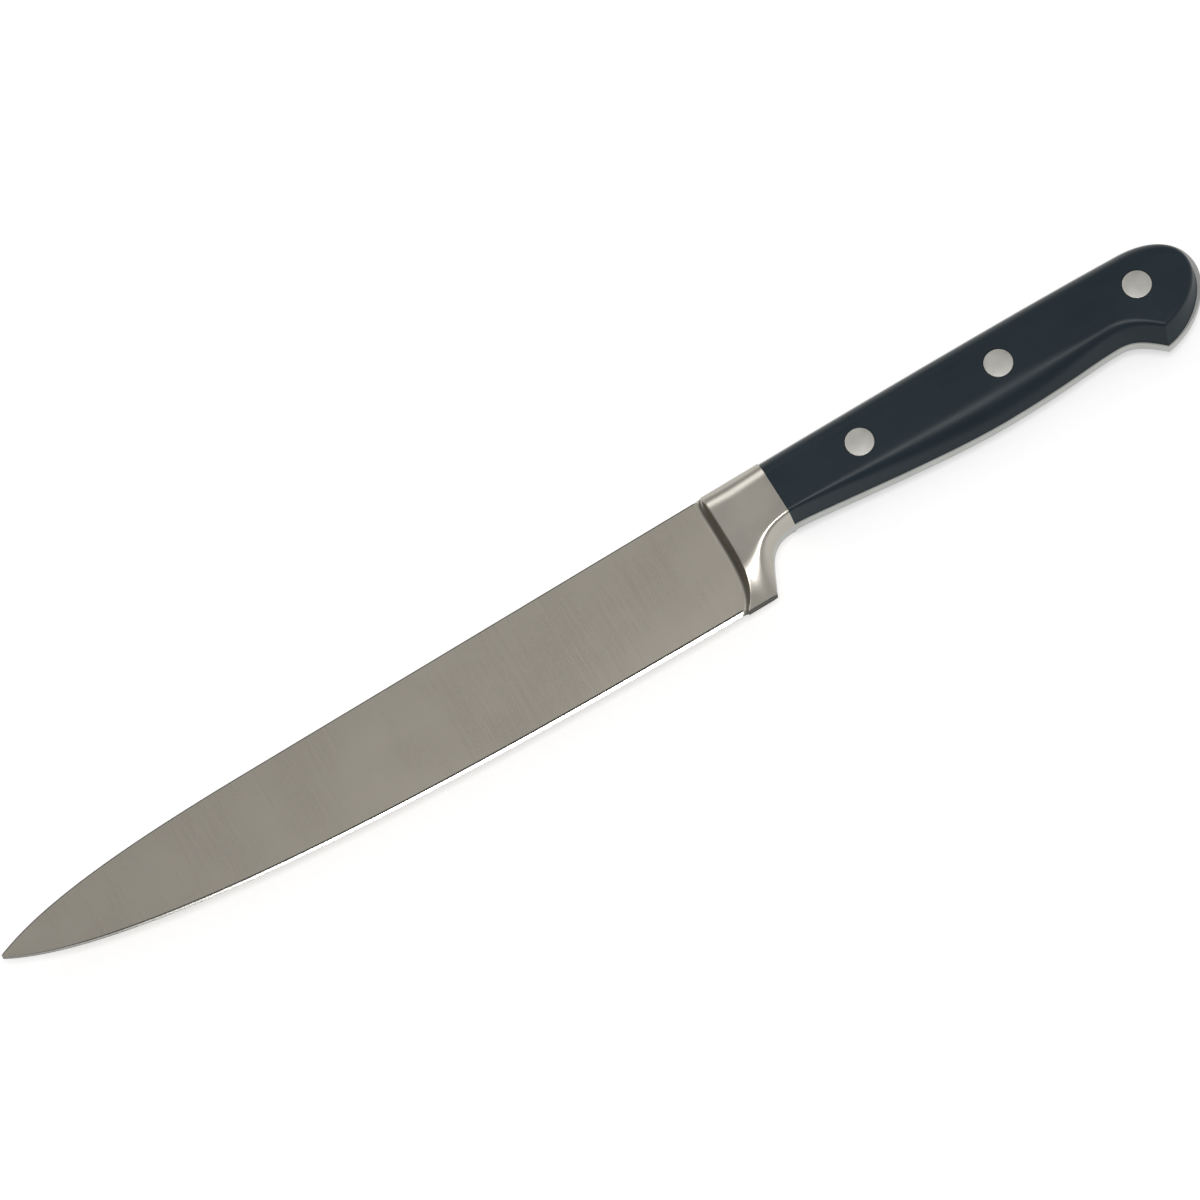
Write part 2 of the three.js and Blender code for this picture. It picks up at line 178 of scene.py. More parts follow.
@dataclass(frozen=True)
class LeaningSide:
    """A side that leans in by its draft and is rounded into a flat face."""

    draft: Array | float
    rounding: Array | float
    proud: Array | float = 0.0  # of the tang beyond the foot of the side
    limit: float = 0.9

    def bend(self, height: Array | float) -> tuple[Array, Array]:
        """Works out the rounding between the side and the face.

        Args:
            height: Height of the face over the foot of the side.

        Returns:
            The share of the side that stays straight, and how far the rounding reaches.
        """
        side = np.hypot(self.draft, height)
        reach = np.minimum(self.rounding, self.limit * side)
        return 1 - reach / side, reach

    def towards(self, other: "LeaningSide", share: Array | float) -> "LeaningSide":
        """Mixes this side with another, by how far it is towards that one, from 0 to 1."""
        ends = zip((self.draft, self.rounding, self.proud), (other.draft, other.rounding, other.proud))
        return LeaningSide(*(lerp(start, end, share) for start, end in ends))

    def section(self, height: float, steps: int) -> Array:
        """Draws the section from the foot of the side to the face.

        Args:
            height: Height of the face over the foot of the side.
            steps: Number of steps round the bend.

        Returns:
            Rows of inset and height.
        """
        keep, reach = self.bend(height)
        corner = np.array([self.draft, height])
        t = np.linspace(0, 1, steps + 1)[:, None]
        start = corner * keep
        end = corner + np.array([reach, 0.0])
        bend = (1 - t) ** 2 * start + 2 * t * (1 - t) * corner + t * t * end
        return np.vstack([[[0.0, 0.0]], bend])

    def height_at(self, inset: Array, height: Array) -> Array:
        """Finds the height of the side or face at an inset from the outline.

        Args:
            inset: Distance from the outline.
            height: Height of the face over the foot of the side.

        Returns:
            The heights, in the shape of inset.
        """
        keep, reach = self.bend(height)
        start_x = self.draft * keep
        start_y = height * keep
        a = reach - self.draft * (1 - keep)
        b = 2 * (self.draft - start_x)
        c = start_x - np.clip(inset, start_x, self.draft + reach)
        t = (-b + np.sqrt(np.maximum(b * b - 4 * a * c, 0))) / (2 * a)
        bend = (1 - t) ** 2 * start_y + (2 * t * (1 - t) + t * t) * height
        return np.where(inset < start_x, start_y * inset / start_x, bend)


@dataclass(frozen=True)
class HandleOutline:
    """Outline of the tang, which the scales follow, in millimetres."""

    thickness: float = 15.0
    tang_thickness: float = 3.4
    front_depth: float = 18.4
    belly_front_pull: float = 6.0
    deepest: Point = (57.0, -23.7)
    belly_pull: float = 18.0
    notch_front_pull: float = 8.5
    notch_start: Point = (88.5, -22.5)
    notch_level_pull: float = 4.0
    hook_notch_pull: Point = (-4.5, 4.5)
    hook: Point = (99.3, -28.4)
    hook_butt_pull: Point = (7.9, 1.0)
    lower_butt_pull: float = 8.0
    butt: Point = (116.2, -12.9)  # the endmost point
    upper_butt_pull: float = 6.9
    butt_back_pull: float = 10.0
    back_end: Point = (100.0, -1.4)
    back_pull: Point = (-20.0, 0.8)
    back_front_pull: float = 50.0
    back_front_drop: float = 0.15

    @property
    def half(self) -> float:
        """Half the handle's thickness."""
        return self.thickness / 2

    @property
    def tang_half(self) -> float:
        """Half the tang's thickness."""
        return self.tang_thickness / 2

    def lower_butt(self) -> Cubic:
        """The curve from the hook to the end of the butt."""
        return Cubic(self.hook, self.hook_butt_pull, (0, -self.lower_butt_pull), self.butt)

    def upper_butt(self) -> Cubic:
        """The curve from the end of the butt to the back."""
        return Cubic(self.butt, (0, self.upper_butt_pull), (self.butt_back_pull, 0), self.back_end)

    def back(self) -> Cubic:
        """The curve along the back, from the butt to the bolster."""
        return Cubic(self.back_end, self.back_pull, (self.back_front_pull, 0), (0, -self.back_front_drop))

    def belly(self) -> Cubic:
        """The curve from the bolster to the deepest point of the belly."""
        front = (0, -self.front_depth)
        return Cubic(front, (self.belly_front_pull, 0), (-self.belly_pull, 0), self.deepest)

    def rise(self) -> Cubic:
        """The curve from the deepest point to the notch."""
        return Cubic(self.deepest, (self.belly_pull, 0), (-self.notch_front_pull, 0), self.notch_start)

    def notch(self) -> Cubic:
        """The curve from the notch to the tip of the hook."""
        return Cubic(self.notch_start, (self.notch_level_pull, 0), self.hook_notch_pull, self.hook)

    def high_at(self, x: Array) -> Array:
        """Heights of the upper outline at x."""
        behind = x > self.back_end[0]
        return np.where(behind, self.upper_butt().height_at(x), self.back().height_at(x))


# Mesh building


def new_piece(name: str, vertices: Array, faces: list[Face], zones: list[int] | None = None) -> Piece:
    """Makes an object from a mesh in the part frame, with points that lie together merged.

    Args:
        name: Name of the piece.
        vertices: Rows of x, y and z, in metres.
        faces: Vertex indices of each face.
        zones: Material index of each face, where there is more than one.

    Returns:
        The object, in the scene.
    """
    mesh = bpy.data.meshes.new(name)
    mesh.from_pydata(vertices.tolist(), [], faces)
    if zones is not None:
        mesh.polygons.foreach_set("material_index", zones)
    work = bmesh.new()
    work.from_mesh(mesh)
    bmesh.ops.remove_doubles(work, verts=work.verts, dist=MERGE_DISTANCE)
    bmesh.ops.dissolve_degenerate(work, edges=work.edges, dist=MERGE_DISTANCE)
    bmesh.ops.recalc_face_normals(work, faces=work.faces)
    work.to_mesh(mesh)
    work.free()
    piece = bpy.data.objects.new(name, mesh)
    bpy.context.scene.collection.objects.link(piece)
    return piece


def shade(piece: Piece) -> None:
    """Shades a piece smooth, with its real edges kept sharp."""
    piece.data.shade_smooth()
    piece.data.set_sharp_from_angle(angle=SHARP_ANGLE)


def ring_faces(rings: int, sides: int) -> list[Face]:
    """Lists the faces between rings of points that lie one above the other.

    Args:
        rings: Number of rings.
        sides: Number of points in a ring.

    Returns:
        Vertex indices of each face.
    """
    faces: list[Face] = []
    for low in range(0, (rings - 1) * sides, sides):
        high = low + sides
        for index in range(sides):
            after = (index + 1) % sides
            faces.append((low + index, low + after, high + after, high + index))
    return faces


def turned(name: str, profile: list[Point], centre: Vector, sides: int) -> Piece:
    """Makes a turned piece round an upright axis.

    Args:
        name: Name of the piece.
        profile: Radius and height in metres, from one end on the axis to the other.
        centre: Where the axis stands, in the part frame.
        sides: Number of sides of the round.

    Returns:
        The object, in the scene.
    """
    turn = np.arange(sides) * 2 * math.pi / sides
    rings = [
        np.stack([radius * np.cos(turn), radius * np.sin(turn), np.full(sides, height)], axis=1)
        for radius, height in profile[1:-1]
    ]
    poles = np.array([[0, 0, profile[0][1]], [0, 0, profile[-1][1]]])
    vertices = np.vstack([*rings, poles]) + np.array(centre)
    faces = ring_faces(len(rings), sides)
    first = len(rings) * sides
    top = first - sides
    for index in range(sides):
        after = (index + 1) % sides
        faces += [(first, after, index), (first + 1, top + index, top + after)]
    return new_piece(name, vertices, faces)


def cut(piece: Piece, cutters: list[Piece]) -> None:
    """Cuts other solids out of a piece, and removes them.

    Args:
        piece: The piece that is cut.
        cutters: What is cut out of it.
    """
    for cutter in cutters:
        modifier = piece.modifiers.new("cut", "BOOLEAN")
        modifier.operation = "DIFFERENCE"
        modifier.solver = "EXACT"
        modifier.object = cutter
    graph = bpy.context.evaluated_depsgraph_get()
    mesh = bpy.data.meshes.new_from_object(piece.evaluated_get(graph))
    old = piece.data
    piece.modifiers.clear()
    piece.data = mesh
    bpy.data.meshes.remove(old)
    mesh.name = piece.name
    for cutter in cutters:
        shape = cutter.data
        bpy.data.objects.remove(cutter)
        bpy.data.meshes.remove(shape)


# Finishes


def linear(colour: str) -> Colour:
    """Turns an sRGB colour, as a hash sign and six hex digits, into linear light by the sRGB formula."""
    shares = (byte / 255 for byte in bytes.fromhex(colour[1:]))
    return (*(s / 12.92 if s <= 0.04045 else ((s + 0.055) / 1.055) ** 2.4 for s in shares), 1.0)


def add_node(tree: Tree, kind: str, settings: dict | None = None, inputs: dict | None = None) -> Node:
    """Adds a node with its settings and what goes into it.

    Args:
        tree: Node tree that gets the node.
        kind: Type name of the node.
        settings: Properties of the node, by name.
        inputs: What each input takes, by name or index: a socket to link, or a value.

    Returns:
        The node.
    """
    node = tree.nodes.new(kind)
    for name, value in (settings or {}).items():
        setattr(node, name, value)
    for name, value in (inputs or {}).items():
        if isinstance(value, Socket):
            tree.links.new(value, node.inputs[name])
        else:
            node.inputs[name].default_value = value
    return node


def new_material(name: str) -> tuple[Material, Socket]:
    """Makes a material with no nodes but the one for places on the surface.

    Args:
        name: Name of the material.

    Returns:
        The material, and where each point of the surface lies.
    """
    material = bpy.data.materials.new(name)
    material.use_nodes = True
    material.node_tree.nodes.clear()
    return material, add_node(material.node_tree, "ShaderNodeTexCoord").outputs["Object"]


def ramp(tree: Tree, share: Socket, stops: tuple[Stop, ...]) -> Socket:
    """Adds a colour ramp.

    Args:
        tree: Node tree that gets it.
        share: What picks the colour.
        stops: Position and sRGB colour of each stop, in order.

    Returns:
        The colour.
    """
    node = add_node(tree, "ShaderNodeValToRGB", None, {"Fac": share})
    elements = node.color_ramp.elements
    while len(elements) < len(stops):
        elements.new(1.0)
    for element, (position, colour) in zip(elements, stops):
        element.position = position
        element.color = linear(colour)
    return node.outputs["Color"]


def uneven(tree: Tree, patterns: tuple[Socket, Socket], middle: float, spread: float) -> Socket:
    """Adds a roughness that two patterns vary together.

    Args:
        tree: Node tree that gets it.
        patterns: The two patterns.
        middle: Roughness between the smoothest and the roughest places.
        spread: How far these lie from the middle.

    Returns:
        The roughness.
    """
    both = add_node(tree, "ShaderNodeMath", {"operation": "ADD"}, {0: patterns[0], 1: patterns[1]})
    least, most = PATTERN_SUMS
    between = {"From Min": least, "From Max": most, "To Min": middle - spread, "To Max": middle + spread}
    rough = add_node(tree, "ShaderNodeMapRange", None, {"Value": both.outputs["Value"], **between})
    return rough.outputs["Result"]


def bumped(tree: Tree, height: Socket, depth: float, strength: float) -> Socket:
    """Adds a relief of a depth in millimetres, of which the strength is the share that shows."""
    relief = {"Strength": strength, "Distance": depth * MILLIMETRE, "Height": height}
    return add_node(tree, "ShaderNodeBump", None, relief).outputs["Normal"]


def end_in_shader(tree: Tree, inputs: dict) -> None:
    """Ends a material's node tree in one shader, by what each of its inputs takes."""
    shader = add_node(tree, "ShaderNodeBsdfPrincipled", None, inputs)
    add_node(tree, "ShaderNodeOutputMaterial", None, {"Surface": shader.outputs["BSDF"]})


@dataclass(frozen=True)
class Pattern:
    """A noise pattern, with its sizes in millimetres along the knife and across it."""

    along: float
    across: float
    detail: float = 3.0
    break_up: float = 0.6

    def value(self, tree: Tree, place: Socket) -> Socket:
        """Adds the pattern to a material.

        Args:
            tree: Node tree that gets it.
            place: Where each point of the surface lies.

        Returns:
            The value of the pattern.
        """
        scale = tuple(1 / (size * MILLIMETRE) for size in (self.along, self.across, self.across))
        scaled = add_node(tree, "ShaderNodeMapping", None, {"Vector": place, "Scale": scale})
        fineness = {"Scale": 1.0, "Detail": self.detail, "Roughness": self.break_up}
        noise = add_node(tree, "ShaderNodeTexNoise", None, {"Vector": scaled.outputs["Vector"], **fineness})
        return noise.outputs["Fac"]


@dataclass(frozen=True)
class Finish:
    """A surface of two colours in soft clouds, with fine marks and a relief. Sizes in millimetres."""

    name: str
    colours: tuple[str, str]  # of the low and the high places of the clouds
    roughness: float
    roughness_spread: float
    marks: Pattern  # that vary the roughness together with the clouds
    clouds: Pattern = Pattern(26.0, 26.0, 4.0, 0.55)
    cloud_shares: Point = (0.35, 0.65)  # of the pattern, where the two colours are plain
    relief: Pattern | None = None  # where it isn't the marks that stand up
    relief_depth: float = 0.004
    relief_strength: float = 0.35
    metallic: float = 1.0
    ior: float = 1.5

    def material(self) -> Material:
        """Makes the material of this finish.

        Returns:
            The material.
        """
        material, place = new_material(self.name)
        tree = material.node_tree
        marks, clouds = self.marks.value(tree, place), self.clouds.value(tree, place)
        relief = self.relief.value(tree, place) if self.relief else marks
        inputs = {
            "Base Color": ramp(tree, clouds, tuple(zip(self.cloud_shares, self.colours))),
            "Metallic": self.metallic,
            "IOR": self.ior,
            "Roughness": uneven(tree, (marks, clouds), self.roughness, self.roughness_spread),
            "Normal": bumped(tree, relief, self.relief_depth, self.relief_strength),
        }
        end_in_shader(tree, inputs)
        return material


@dataclass(frozen=True)
class FloorFinish:
    """Matt white studio sweep that keeps the knife's shadow. A lift makes it white to the camera."""

    name: str = "studio sweep matt card"
    white: str = "#f0f0f0"
    fibre_white: str = "#ececeb"
    fibres: Pattern = Pattern(3.0, 3.0, 3.0, 0.5)
    roughness: float = 0.9
    camera_lift: float = 0.56
    steel_lift: float = 0.22

    def material(self) -> Material:
        """Makes the material of this finish.

        Returns:
            The material.
        """
        material, place = new_material(self.name)
        tree = material.node_tree
        fibres = self.fibres.value(tree, place)
        path = add_node(tree, "ShaderNodeLightPath").outputs
        seen = {0: path["Is Camera Ray"], 1: self.camera_lift}
        to_camera = add_node(tree, "ShaderNodeMath", {"operation": "MULTIPLY"}, seen).outputs["Value"]
        mirrored = {0: path["Is Glossy Ray"], 1: self.steel_lift, 2: to_camera}
        lift = add_node(tree, "ShaderNodeMath", {"operation": "MULTIPLY_ADD"}, mirrored).outputs["Value"]
        inputs = {
            "Base Color": ramp(tree, fibres, ((0.0, self.fibre_white), (1.0, self.white))),
            "Roughness": self.roughness,
            "Specular IOR Level": 0.0,
            "Emission Color": WHITE,
            "Emission Strength": lift,
        }
        end_in_shader(tree, inputs)
        return material


# Blade flank: martensitic stainless steel, belt ground from spine to edge and satin finished
FLANK_FINISH = Finish(
    name="stainless steel satin ground",
    colours=("#d0c9bb", "#d6cfc1"),
    roughness=0.28,
    roughness_spread=0.015,
    marks=Pattern(along=0.45, across=22.0),
    relief_depth=0.002,
)
# Cutting bevel: the same steel, freshly honed across the edge on a fine wheel
BEVEL_FINISH = Finish(
    name="stainless steel honed edge",
    colours=("#e9e8e2", "#f2f1ec"),
    roughness=0.22,
    roughness_spread=0.05,
    marks=Pattern(along=0.3, across=3.0),
)
# The same steel, coloured dark as painted shade and painted dark reflection: cutting edge, shoulder of the
# bevel, spine, foot of the heel and end face at the point
PAINTED_SHADE_FINISH = Finish(
    name="stainless steel painted shade",
    colours=("#4e4c48", "#55534e"),
    roughness=0.42,
    roughness_spread=0.04,
    marks=Pattern(along=22.0, across=0.45),
)
# Bolster and heel: the same steel, belt polished lengthwise after forging
BOLSTER_FINISH = Finish(
    name="stainless steel belt polished",
    colours=("#d0cbc0", "#d8d3c8"),
    roughness=0.3,
    roughness_spread=0.025,
    marks=Pattern(along=16.0, across=0.35),
    clouds=Pattern(9.0, 9.0, 4.0, 0.55),
)
# Edge of the tang, top and underside of the bolster: the same steel, brightened on a fine belt
TANG_FINISH = Finish(
    name="stainless steel edge fine ground",
    colours=("#d2d3cf", "#dcddd9"),
    roughness=0.34,
    roughness_spread=0.03,
    marks=Pattern(along=10.0, across=0.3),
    clouds=Pattern(9.0, 9.0, 4.0, 0.55),
)
# Rivet heads: stainless steel ground flush together with the scales
RIVET_FINISH = Finish(
    name="stainless steel rivet ground flush",
    colours=("#d4d3cc", "#deddd6"),
    roughness=0.46,
    roughness_spread=0.06,
    marks=Pattern(along=6.0, across=0.3),
    clouds=Pattern(4.0, 4.0, 4.0, 0.55),
    relief_depth=0.006,
)
# Scales: black acetal, moulded in a fine-grained tool, with faint rub marks along its length
SCALE_FINISH = Finish(
    name="acetal moulded black",
    colours=("#10252f", "#152b35"),
    roughness=0.4,
    roughness_spread=0.06,
    marks=Pattern(30.0, 0.6, 2.0, 0.5),
    clouds=Pattern(18.0, 18.0, 4.0, 0.6),
    cloud_shares=(0.3, 0.75),
    relief=Pattern(0.7, 0.7, 2.0, 0.5),
    relief_depth=0.012,
    relief_strength=0.4,
    metallic=0.0,
    ior=1.48,
)


# Sub-assemblies


@dataclass
class Forging:
    """Blade, bolster and full tang, forged in one piece. Sizes in millimetres."""

    outline: HandleOutline
    blade_length: float = 199.2
    blade_depth: float = 30.9
    spine_thickness: float = 2.8
    point_thickness: float = 0.6
    bevel_width: float = 0.9
    point_bevel_width: float = 0.5
    bevel_angle: float = 14.0
    bevel_limit: float = 1 / 3  # most of the depth that the bevel or the spine's rounding takes
    edge_land: float = 0.1
    spine_rounding: float = 0.35
    point_drop: float = 7.9
    point_height: float = 1.1
    point_run: float = 72.0
    spine_pull: float = 34.0
    point_spine_pull: Point = (14.0, 6.0)
    point_edge_pull: Point = (28.0, -16.0)
    heel_edge_pull: Point = (-92.0, 0.6)
    bolster_length: float = 15.9
    bolster_front_thickness: float = 10.0
    bolster_top: float = 0.05
    bolster_edge_thickness: float = 4.0
    fillet_run: float = 2.1
    heel_back: float = 12.6
    heel_drop: float = 0.05
    heel_thickness: float = 3.2
    heel_facet_angle: float = 28.0
    heel_sweep: float = 4.8
    heel_sweep_ease: float = 7.0
    heel_ridge_round: float = 2.0
    finger_pull: float = 8.0
    heel_pull: Point = (4.0, 8.7)
    sweep_fade: float = 24.0
    top_side: LeaningSide = LeaningSide(2.0, 4.0)
    front_side: LeaningSide = LeaningSide(1.7, 0.8)
    heel_side: LeaningSide = LeaningSide(5.0, 3.0)
    heel_side_ease: float = 3.0
    ridge_round: float = 0.3
    blade_columns: int = 110
    point_crowding: float = 1.5
    fillet_columns: int = 14
    ridge_columns: int = 14
    ridge_crowding: float = 2.0
    finger_columns: int = 52
    tang_columns: int = 22  # along each curve of the tang
    row_crowding: float = 0.6  # how far the rows draw together at the ends of the flank
    low_rows: int = 10
    edge_shade_rows: int = 1  # of the painted shade line along the cutting edge
    shoulder_shade_rows: int = 2  # of the painted shade line above the bevel
    middle_rows: int = 58
    high_rows: int = 7
    finger_segments: int = 160

    @property
    def heel_foot(self) -> float:
        """Depth of the heel's foot below the line of the spine."""
        return self.blade_depth + self.heel_drop

    @property
    def fillet_foot(self) -> float:
        """Where the fillet meets the blade."""
        return -(self.bolster_length + self.fillet_run)

    @property
    def point(self) -> float:
        """Where the point is."""
        return self.fillet_foot - self.blade_length

    @property
    def origin(self) -> Array:
        """Origin of the part frame, in the drawing frame."""
        ends = [self.point + self.outline.butt[0], self.bolster_top - self.heel_foot, -self.outline.thickness]
        return np.array(ends) / 2

    def to_part(self, points: Array) -> Array:
        """Moves points of the drawing frame, in millimetres, into the part frame, in metres."""
        return (points - self.origin) * MILLIMETRE

    def spine_curve(self) -> Cubic:
        """The curve of the spine down to the point."""
        start, end = (self.point, -self.point_drop), (self.point + self.point_run, 0)
        return Cubic(start, self.point_spine_pull, (-self.spine_pull, 0), end)

    def edge_curve(self) -> Cubic:
        """The curve of the cutting edge."""
        start, end = (self.point, -self.point_drop - self.point_height), (self.fillet_foot, -self.blade_depth)
        return Cubic(start, self.point_edge_pull, self.heel_edge_pull, end)

    def finger_curve(self) -> Cubic:
        """The curve under the bolster, from the scales to the rear corner of the heel."""
        start, end = (0, -self.outline.front_depth), (-self.heel_back, -self.heel_foot)
        return Cubic(start, (-self.finger_pull, 0), self.heel_pull, end)

    def bevel_at(self, x: Array) -> Array:
        """Full widths of the edge bevel along the blade."""
        along = np.clip((x - self.point) / self.blade_length, 0, 1)
        return lerp(self.point_bevel_width, self.bevel_width, along)

    def blade_half(self, x: Array, y: Array) -> Array:
        """Half the blade's thickness, from its bevel to its rounded spine.

        Args:
            x: Places along the knife.
            y: Heights, in the shape of x.

        Returns:
            Half thicknesses, in the shape of x.
        """
        along = np.clip((x - self.point) / self.blade_length, 0, 1)
        spine = self.spine_curve().height_at(x)
        edge = self.edge_curve().height_at(x)
        bevel = np.minimum(self.bevel_at(x), (spine - edge) * self.bevel_limit)
        spine_half = lerp(self.point_thickness, self.spine_thickness, along) / 2
        shoulder_half = self.edge_land / 2 + math.tan(math.radians(self.bevel_angle)) * bevel
        rise = np.clip((y - edge - bevel) / (spine - edge - bevel), 0, 1)
        flat = lerp(shoulder_half, spine_half, rise)
        honed = lerp(self.edge_land / 2, shoulder_half, np.clip((y - edge) / bevel, 0, 1))
        radius = np.minimum(self.spine_rounding, (spine - edge - bevel) * self.bevel_limit)
        below = np.clip(1 - (spine - y) / radius, 0, 1)
        sunk = radius * (1 - np.sqrt(1 - below * below))
        return np.minimum(flat, np.where(y < edge + bevel, honed, flat)) - sunk

    def from_finger_curve(self, x: Array, y: Array) -> Array:
        """Distances of points from the finger curve.

        Args:
            x: Places along the knife.
            y: Heights, in the shape of x.

        Returns:
            Distances, in the shape of x.
        """
        corners = self.finger_curve().points(np.linspace(0, 1, self.finger_segments + 1))
        start, run = corners[:-1], np.diff(corners, axis=0)
        away = np.stack([x.ravel(), y.ravel()], axis=1)[:, None] - start
        share = np.clip((away * run).sum(2) / (run * run).sum(1), 0, 1)
        least = np.linalg.norm(away - share[..., None] * run, axis=2).min(1)
        return least.reshape(x.shape)

    def bolster_half(self, x: Array, y: Array) -> Array:
        """Half the bolster's thickness behind its fillet.

        Args:
            x: Places along the knife.
            y: Heights, in the shape of x.

        Returns:
            Half thicknesses, in the shape of x.
        """
        along = np.clip(1 + x / self.bolster_length, 0, 1)
        edge_half = self.bolster_edge_thickness / 2
        height = lerp(self.bolster_front_thickness / 2, self.outline.half, along) - edge_half
        upper = self.top_side.height_at(self.bolster_top - y, height)
        lower_side = self.front_side.towards(self.heel_side, (1 - along) ** self.heel_side_ease)
        lower = lower_side.height_at(self.from_finger_curve(x, y), height)
        lean = math.tan(math.radians(self.heel_facet_angle))
        heel = self.heel_thickness / 2 + lean * (y + self.heel_foot)
        half = soft_min(edge_half + np.minimum(upper, lower), heel, self.heel_ridge_round)
        ridge = self.fillet_foot + self.fillet_run - self.sweep_at(y)
        near = np.clip(1 - (x - ridge) / self.ridge_round, 0, 1)
        return half - self.ridge_round * (1 - np.sqrt(1 - near * near))

    def sweep_at(self, y: Array) -> Array:
        """How far the fillet runs forward at each height."""
        share = np.maximum(-y, 0) / self.heel_foot
        return self.heel_sweep * share**self.heel_sweep_ease

    def rows_between(self, low: Array, high: Array, bevel: Array | float) -> Array:
        """Heights of the rows of each column: close together near the outline.

        Args:
            low: Lower end of each column.
            high: Upper end of each column.
            bevel: Full width of the bevel, which the lowest rows share out.

        Returns:
            One line of heights per column.
        """
        depth = high - low
        low_zone = np.minimum(bevel, depth * self.bevel_limit)
        high_zone = np.minimum(self.spine_rounding, (depth - low_zone) * self.bevel_limit)
        first = np.linspace(0, 1, self.low_rows + 1)
        turn = (1 - np.cos(np.linspace(0, math.pi, self.middle_rows + 1))) / 2
        middle = lerp(np.linspace(0, 1, self.middle_rows + 1), turn, self.row_crowding)
        last = np.linspace(0, 1, self.high_rows + 1)
        lower = low[:, None] + low_zone[:, None] * first[:-1]
        inner = (low + low_zone)[:, None] + (depth - low_zone - high_zone)[:, None] * middle
        upper = (high - high_zone)[:, None] + high_zone[:, None] * last[1:]
        return np.hstack([lower, inner, upper])

    def blade_grid(self) -> Grid:
        """Columns of the blade from the point to the fillet.

        Returns:
            The grid of its columns.
        """
        share = np.linspace(0, 1, self.blade_columns + 1) ** self.point_crowding
        along = self.point + self.blade_length * share
        spine = self.spine_curve().height_at(along)
        y = self.rows_between(self.edge_curve().height_at(along), spine, self.bevel_at(along))
        near = smooth((along - self.fillet_foot) / self.sweep_fade + 1)
        straight = np.broadcast_to(along[:, None], y.shape)
        return straight - self.sweep_at(y) * near[:, None], y, self.blade_half(straight, y)

    def fillet_grid(self) -> Grid:
        """Columns of the hollow between the blade and the bolster.

        Returns:
            The grid of its columns.
        """
        share = np.linspace(0, 1, self.fillet_columns + 1)[1:]
        turn = share[:, None] * math.pi / 2
        low = lerp(-self.blade_depth, -self.heel_foot, share)
        y = self.rows_between(low, self.bolster_top * share, self.bevel_width)
        foot = self.fillet_foot - self.sweep_at(y)
        x = foot + self.fillet_run * np.sin(turn)
        ridge_half = self.bolster_half(foot + self.fillet_run, y)
        return x, y, lerp(ridge_half, self.blade_half(x, np.clip(y, -self.blade_depth, 0)), np.cos(turn))

    def bolster_grid(self) -> Grid:
        """Columns of the bolster from its ridge to the front of the scales.

        Returns:
            The grid of its columns.
        """
        share = np.linspace(0, 1, self.ridge_columns + 1)[1:] ** self.ridge_crowding
        front = lerp(-self.bolster_length, -self.heel_back, share)
        finger = self.finger_curve().points(np.linspace(1, 0, self.finger_columns + 1)[1:])
        along = np.concatenate([front, finger[:, 0]])
        low = np.concatenate([np.full(len(front), -self.heel_foot), finger[:, 1]])
        y = self.rows_between(low, np.full(len(low), self.bolster_top), self.bevel_width)
        behind = (along + self.bolster_length) / (self.bolster_length - self.heel_back)
        x = along[:, None] - self.sweep_at(y) * (1 - np.clip(behind, 0, 1))[:, None]
        return x, y, self.bolster_half(x, y)

    def tang_grid(self) -> Grid:
        """Columns of the tang from the bolster to the end of the butt.

        Returns:
            The grid of its columns.
        """
        shares = np.linspace(0, 1, self.tang_columns + 1)
        curves = (self.outline.belly(), self.outline.rise(), self.outline.notch(), self.outline.lower_butt())
        low = np.vstack([curve.points(shares)[index > 0 :] for index, curve in enumerate(curves)])
        along = low[:, 0]
        high = np.maximum(self.outline.high_at(along), low[:, 1])
        y = self.rows_between(low[:, 1], high, self.bevel_width)
        x = np.broadcast_to(along[:, None], y.shape)
        return x, y, np.full(y.shape, self.outline.tang_half)

    def blade_zone(self, row: int, rows: int) -> Zone:
        """Finds how a row of the blade is finished.

        Args:
            row: The row, counted from the cutting edge.
            rows: Number of points in a column.

        Returns:
            The zone of that row.
        """
        # the edge rows, the shoulder line above the bevel and the spine's rounding get painted shade
        if self.edge_shade_rows <= row < self.low_rows:
            return Zone.BEVEL
        on_painted_shade = row < self.low_rows + self.shoulder_shade_rows or row >= rows - 1 - self.high_rows
        return Zone.LINE if on_painted_shade else Zone.FLANK

    def build(self, holes: list[Piece]) -> Piece:
        """Builds the forging as one closed mesh, mirrored across the middle plane.

        Args:
            holes: What is cut out of the tang for the rivets.

        Returns:
            The piece.
        """
        parts = (self.blade_grid(), self.fillet_grid(), self.bolster_grid(), self.tang_grid())
        x, y, half = (np.vstack([part[index] for part in parts]) for index in range(3))
        columns, rows = x.shape
        points = np.stack([x, y, half], axis=2).reshape(-1, 3)
        vertices = np.vstack([points, points * np.array([1, 1, -1])])
        other = columns * rows
        flank_end, fillet_end, bolster_end, _ = np.cumsum([len(part[0]) for part in parts])
        foot_end = fillet_end + self.ridge_columns
        faces: list[Face] = []
        zones: list[int] = []
        for column in range(columns - 1):
            on_blade = column < flank_end - 1
            side = Zone.BOLSTER if column < bolster_end else Zone.TANG
            # the foot of the heel gets the painted shade finish
            under = Zone.LINE if column < foot_end else Zone.TANG
            start, after = column * rows, (column + 1) * rows
            for row in range(rows - 1):
                a, b, c, d = start + row, after + row, after + row + 1, start + row + 1
                zone = self.blade_zone(row, rows) if on_blade else side
                faces += [(a, b, c, d), (other + a, other + d, other + c, other + b)]
                zones += [zone.value] * 2
            top, next_top = start + rows - 1, after + rows - 1
            faces += [(start, other + start, other + after, after)]
            faces += [(top, next_top, other + next_top, other + top)]
